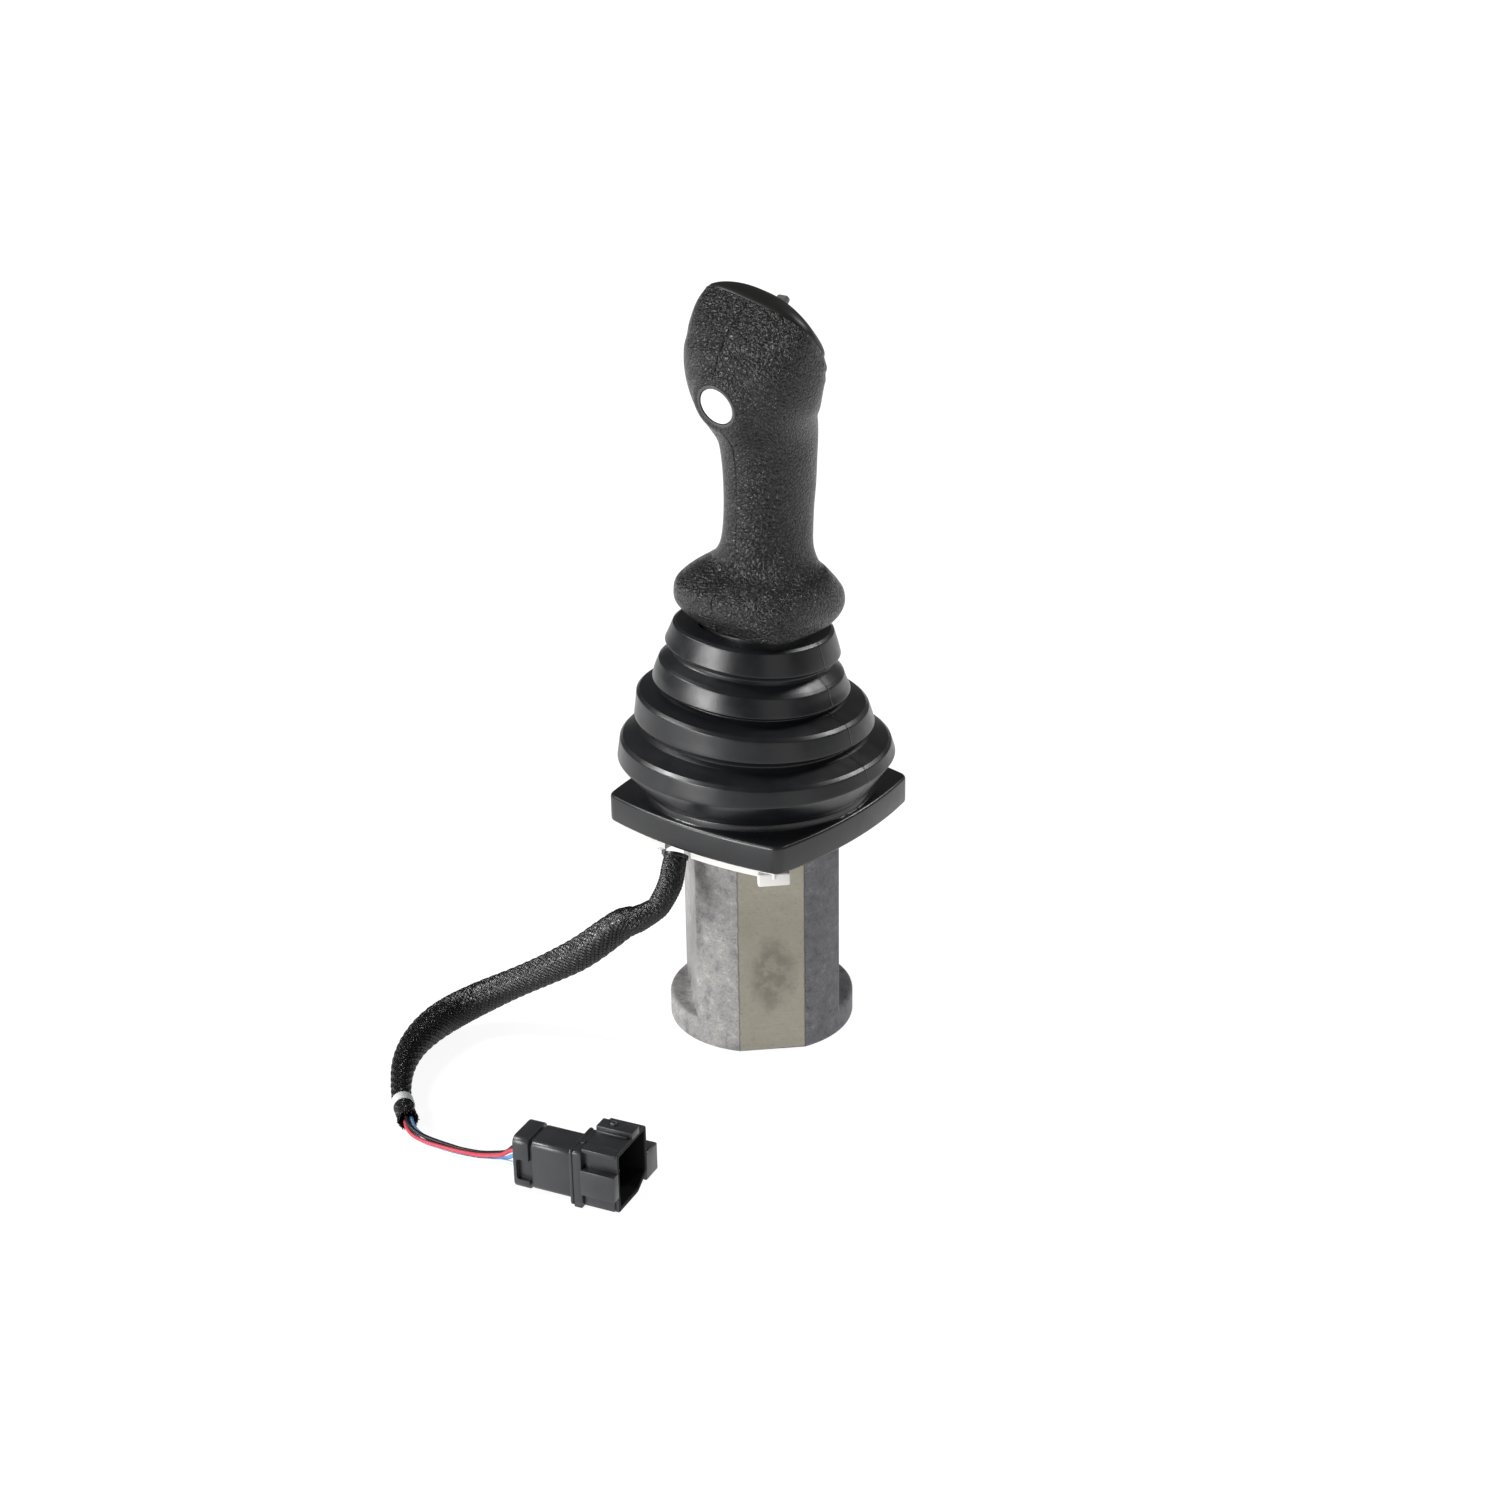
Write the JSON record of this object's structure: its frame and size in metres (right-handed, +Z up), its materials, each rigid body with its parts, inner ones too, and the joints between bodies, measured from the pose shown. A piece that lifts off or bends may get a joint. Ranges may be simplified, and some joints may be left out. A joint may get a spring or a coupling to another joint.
{
  "type": "hydraulic pilot joystick",
  "caption": "Tilting hand lever with trigger and thumb toggle, rubber bellows and square cover over a round ported valve block, with a braided lead to a sealed plug.",
  "frame": {"origin": "centre of the valve block's underside, measured without the lead", "axes": "+Z up along the resting lever, -Y towards the trigger side, +X to the right of someone facing the trigger from behind the grip"},
  "size_m": [0.1524, 0.2193, 0.3055],
  "materials": {
    "cast_body": "as cast, fine speckle",
    "white_plate": "smooth moulded",
    "zinc_steel": "zinc plated",
    "ground_steel": "ground",
    "spring_steel": "drawn wire",
    "bronze": "turned",
    "black_rubber": "satin",
    "cover_plastic": "fine satin",
    "grip_leather_grain": "coarse leather grain",
    "cap_plastic": "smooth satin",
    "toggle_plastic": "satin",
    "button_white": "smooth",
    "switch_black": "moulded",
    "black_braid": "braided monofilament",
    "band_white": "heat shrink",
    "wire_red": "extruded insulation",
    "wire_black": "extruded insulation",
    "wire_blue": "extruded insulation",
    "wire_white": "extruded insulation",
    "plug_plastic": "soft sheen",
    "lock_plastic": "moulded",
    "contact_brass": "plated"
  },
  "bodies": {
    "block": {"valve_body": "cast_body", "mounting_plate": "white_plate", "retaining_plate": "zinc_steel", "plate_screws": "zinc_steel", "cover_flange": "cover_plastic", "plunger_guides": "bronze", "guide_o_rings": "black_rubber", "spring_seats": "ground_steel", "lower_yoke": "ground_steel", "bellows": "black_rubber", "cable_grommet": "black_rubber", "cable_sleeve": "black_braid", "sleeve_band": "band_white", "wire_red": "wire_red", "wire_black": "wire_black", "wire_blue": "wire_blue", "wire_white": "wire_white", "plug_housing": "plug_plastic", "plug_rear_cap": "plug_plastic", "wedge_lock": "lock_plastic", "contact_pins": "contact_brass", "return_spring_right": "spring_steel", "return_spring_back": "spring_steel", "return_spring_left": "spring_steel", "return_spring_front": "spring_steel"},
    "gimbal": {"cross_trunnion": "ground_steel"},
    "lever": {"upper_yoke": "ground_steel", "actuating_disc": "ground_steel", "disc_lock_nut": "zinc_steel", "lever_rod": "ground_steel", "handle_adapter": "zinc_steel", "handle_lock_nut": "zinc_steel", "grip_shell_left": "grip_leather_grain", "grip_shell_right": "grip_leather_grain", "grip_screws": "zinc_steel", "grip_cap": "cap_plastic", "toggle_pin": "zinc_steel", "toggle_switch": "switch_black", "button_bezel": "cap_plastic", "button_switch": "switch_black"},
    "trigger": {"trigger_button": "button_white"},
    "toggle": {"thumb_toggle": "toggle_plastic"},
    "plunger_body_right": {"plunger_right": "ground_steel", "spool_right": "ground_steel"},
    "plunger_body_back": {"plunger_back": "ground_steel", "spool_back": "ground_steel"},
    "plunger_body_left": {"plunger_left": "ground_steel", "spool_left": "ground_steel"},
    "plunger_body_front": {"plunger_front": "ground_steel", "spool_front": "ground_steel"}
  },
  "joints": [
    {"name": "tilt_side", "type": "hinge", "parent": "block", "child": "gimbal", "pos_m": [0, 0, 0.102], "axis": [1, 0, 0], "range_deg": [-19, 19], "stiffness_Nm_per_rad": 1.6, "deforming": ["bellows"]},
    {"name": "tilt_fore", "type": "hinge", "parent": "gimbal", "child": "lever", "pos_m": [0, 0, 0.102], "axis": [0, 1, 0], "range_deg": [-19, 19], "stiffness_Nm_per_rad": 1.6},
    {"name": "trigger_press", "type": "slide", "parent": "lever", "child": "trigger", "axis": [0, 0.9636, 0.2672], "range_m": [0, 0.0025], "stiffness_N_per_m": 900, "springref_m": -0.002},
    {"name": "toggle_rock", "type": "hinge", "parent": "lever", "child": "toggle", "pos_m": [0, 0.01176, 0.29095], "axis": [1, 0, 0], "range_deg": [-14, 14], "stiffness_Nm_per_rad": 0.03},
    {"name": "plunger_right_slide", "type": "slide", "parent": "block", "child": "plunger_body_right", "axis": [0, 0, 1], "range_m": [-0.0082, 0.0082], "deforming": ["return_spring_right"]},
    {"name": "plunger_back_slide", "type": "slide", "parent": "block", "child": "plunger_body_back", "axis": [0, 0, 1], "range_m": [-0.0082, 0.0082], "deforming": ["return_spring_back"]},
    {"name": "plunger_left_slide", "type": "slide", "parent": "block", "child": "plunger_body_left", "axis": [0, 0, 1], "range_m": [-0.0082, 0.0082], "deforming": ["return_spring_left"]},
    {"name": "plunger_front_slide", "type": "slide", "parent": "block", "child": "plunger_body_front", "axis": [0, 0, 1], "range_m": [-0.0082, 0.0082], "deforming": ["return_spring_front"]}
  ],
  "couplings": [
    {"joint": "plunger_back_slide", "follows": "tilt_side", "m_per_rad": 0.0242},
    {"joint": "plunger_front_slide", "follows": "tilt_side", "m_per_rad": -0.0242},
    {"joint": "plunger_right_slide", "follows": "tilt_fore", "m_per_rad": -0.0242},
    {"joint": "plunger_left_slide", "follows": "tilt_fore", "m_per_rad": 0.0242}
  ]
}
